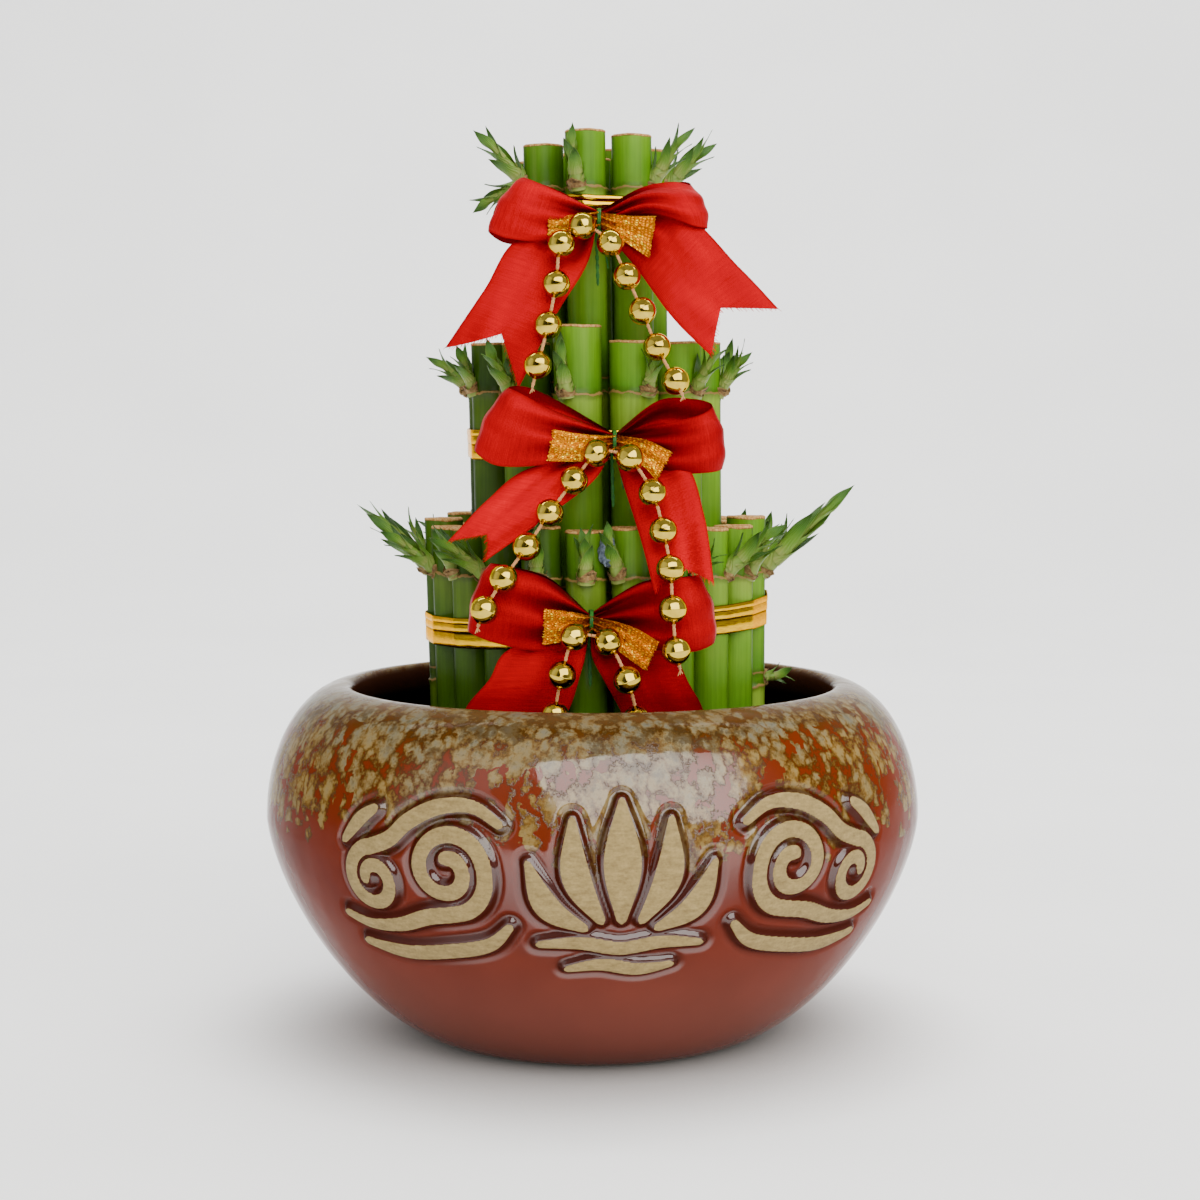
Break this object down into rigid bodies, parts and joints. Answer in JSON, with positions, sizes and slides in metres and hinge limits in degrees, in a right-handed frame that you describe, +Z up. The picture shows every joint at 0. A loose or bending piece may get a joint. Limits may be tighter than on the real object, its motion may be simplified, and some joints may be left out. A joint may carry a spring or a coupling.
{
  "type": "lucky bamboo tower",
  "caption": "Tiered tower of tied lucky bamboo canes with red bows and gold beads, standing in a round glazed bowl.",
  "frame": {"origin": "centre of the bowl's flat base, on the surface that it stands on", "axes": "+Z up along the bowl's axis, -Y towards the front with the bows, +X to the right seen from the front"},
  "size_m": [0.2, 0.2, 0.2748],
  "materials": {
    "glaze": "glossy opaque stoneware glaze",
    "pebbles": "wet dark pebbles",
    "cane": "satin green stem and leaves",
    "gold_band": "metallised gold strip",
    "satin": "red satin ribbon",
    "gold_mesh": "gold glitter mesh",
    "beads": "gold plated beads on a pale thread",
    "wire_tie": "green coated wire tie"
  },
  "bodies": {
    "root": {"bowl": "glaze", "pebble_bed": "pebbles", "cane_top_1": "cane", "cane_top_2": "cane", "cane_top_3": "cane", "cane_top_4": "cane", "cane_top_5": "cane", "cane_top_6": "cane", "cane_top_7": "cane", "cane_top_centre": "cane", "cane_middle_1": "cane", "cane_middle_2": "cane", "cane_middle_3": "cane", "cane_middle_4": "cane", "cane_middle_5": "cane", "cane_middle_6": "cane", "cane_middle_7": "cane", "cane_middle_8": "cane", "cane_middle_9": "cane", "cane_middle_10": "cane", "cane_middle_11": "cane", "cane_middle_12": "cane", "cane_outer_1": "cane", "cane_outer_2": "cane", "cane_outer_3": "cane", "cane_outer_4": "cane", "cane_outer_5": "cane", "cane_outer_6": "cane", "cane_outer_7": "cane", "cane_outer_8": "cane", "cane_outer_9": "cane", "cane_outer_10": "cane", "cane_outer_11": "cane", "cane_outer_12": "cane", "cane_outer_13": "cane", "cane_outer_14": "cane", "cane_outer_15": "cane", "cane_outer_16": "cane", "cane_outer_17": "cane", "cane_outer_18": "cane", "cane_outer_19": "cane", "cane_outer_20": "cane", "cane_outer_21": "cane", "cane_outer_22": "cane", "gold_band_top": "gold_band", "satin_bow_top": "satin", "mesh_ribbon_top": "gold_mesh", "bead_strand_top": "beads", "wire_tie_top": "wire_tie", "gold_band_middle": "gold_band", "satin_bow_middle": "satin", "mesh_ribbon_middle": "gold_mesh", "bead_strand_middle": "beads", "wire_tie_middle": "wire_tie", "gold_band_bottom": "gold_band", "satin_bow_bottom": "satin", "mesh_ribbon_bottom": "gold_mesh", "bead_strand_bottom": "beads", "wire_tie_bottom": "wire_tie"}
  },
  "joints": []
}
